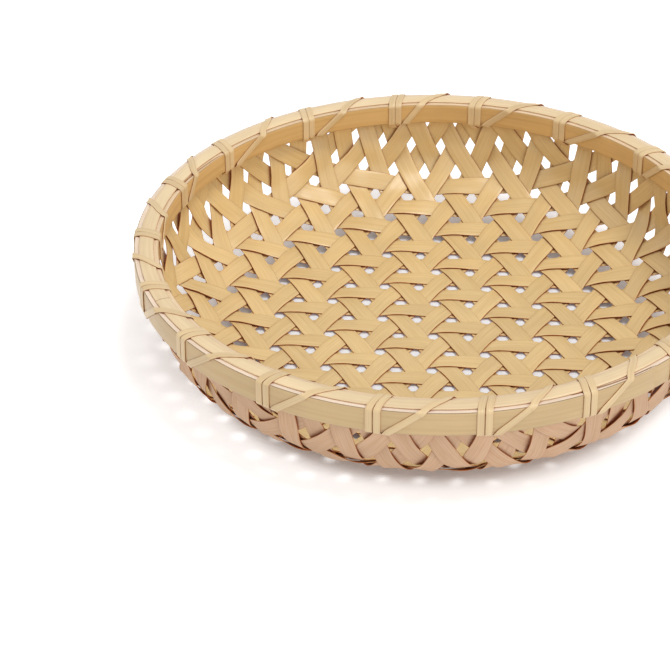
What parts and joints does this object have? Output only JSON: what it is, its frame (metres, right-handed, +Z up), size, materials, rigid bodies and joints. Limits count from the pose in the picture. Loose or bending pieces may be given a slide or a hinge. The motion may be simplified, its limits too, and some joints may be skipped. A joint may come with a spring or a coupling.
{
  "type": "bamboo basket",
  "caption": "Shallow round bamboo serving basket, open hexagonal three-way weave of flat strips, rim of two hoops with a top strip and wound binding.",
  "frame": {"origin": "centre of the basket, on the surface that it rests on", "axes": "+Z up out of the open bowl, +X along one of the three directions of the weave's openings"},
  "size_m": [0.2988, 0.2994, 0.0627],
  "materials": {
    "woven_strips": "satin split bamboo, golden tan inside, paler outside",
    "rim_hoops": "smooth olive-tan bamboo skin, satin",
    "rim_strip_and_binding": "pale cream split bamboo, satin"
  },
  "bodies": {
    "root": {"weave_strip_1a": "woven_strips", "weave_strip_1b": "woven_strips", "weave_strip_1c": "woven_strips", "weave_strip_1d": "woven_strips", "weave_strip_1e": "woven_strips", "weave_strip_1f": "woven_strips", "weave_strip_2a": "woven_strips", "weave_strip_2b": "woven_strips", "weave_strip_2c": "woven_strips", "weave_strip_2d": "woven_strips", "weave_strip_2e": "woven_strips", "weave_strip_2f": "woven_strips", "weave_strip_3a": "woven_strips", "weave_strip_3b": "woven_strips", "weave_strip_3c": "woven_strips", "weave_strip_3d": "woven_strips", "weave_strip_3e": "woven_strips", "weave_strip_3f": "woven_strips", "weave_strip_4a": "woven_strips", "weave_strip_4b": "woven_strips", "weave_strip_4c": "woven_strips", "weave_strip_4d": "woven_strips", "weave_strip_4e": "woven_strips", "weave_strip_4f": "woven_strips", "weave_strip_5a": "woven_strips", "weave_strip_5b": "woven_strips", "weave_strip_5c": "woven_strips", "weave_strip_5d": "woven_strips", "weave_strip_5e": "woven_strips", "weave_strip_5f": "woven_strips", "weave_strip_6a": "woven_strips", "weave_strip_6b": "woven_strips", "weave_strip_6c": "woven_strips", "weave_strip_6d": "woven_strips", "weave_strip_6e": "woven_strips", "weave_strip_6f": "woven_strips", "weave_strip_7a": "woven_strips", "weave_strip_7b": "woven_strips", "weave_strip_7c": "woven_strips", "weave_strip_7d": "woven_strips", "weave_strip_7e": "woven_strips", "weave_strip_7f": "woven_strips", "weave_strip_8a": "woven_strips", "weave_strip_8b": "woven_strips", "weave_strip_8c": "woven_strips", "weave_strip_8d": "woven_strips", "weave_strip_8e": "woven_strips", "weave_strip_8f": "woven_strips", "weave_strip_9a": "woven_strips", "weave_strip_9b": "woven_strips", "weave_strip_9c": "woven_strips", "weave_strip_9d": "woven_strips", "weave_strip_9e": "woven_strips", "weave_strip_9f": "woven_strips", "outer_hoop": "rim_hoops", "inner_hoop": "rim_hoops", "rim_top_strip": "rim_strip_and_binding", "rim_binding": "rim_strip_and_binding"}
  },
  "joints": []
}
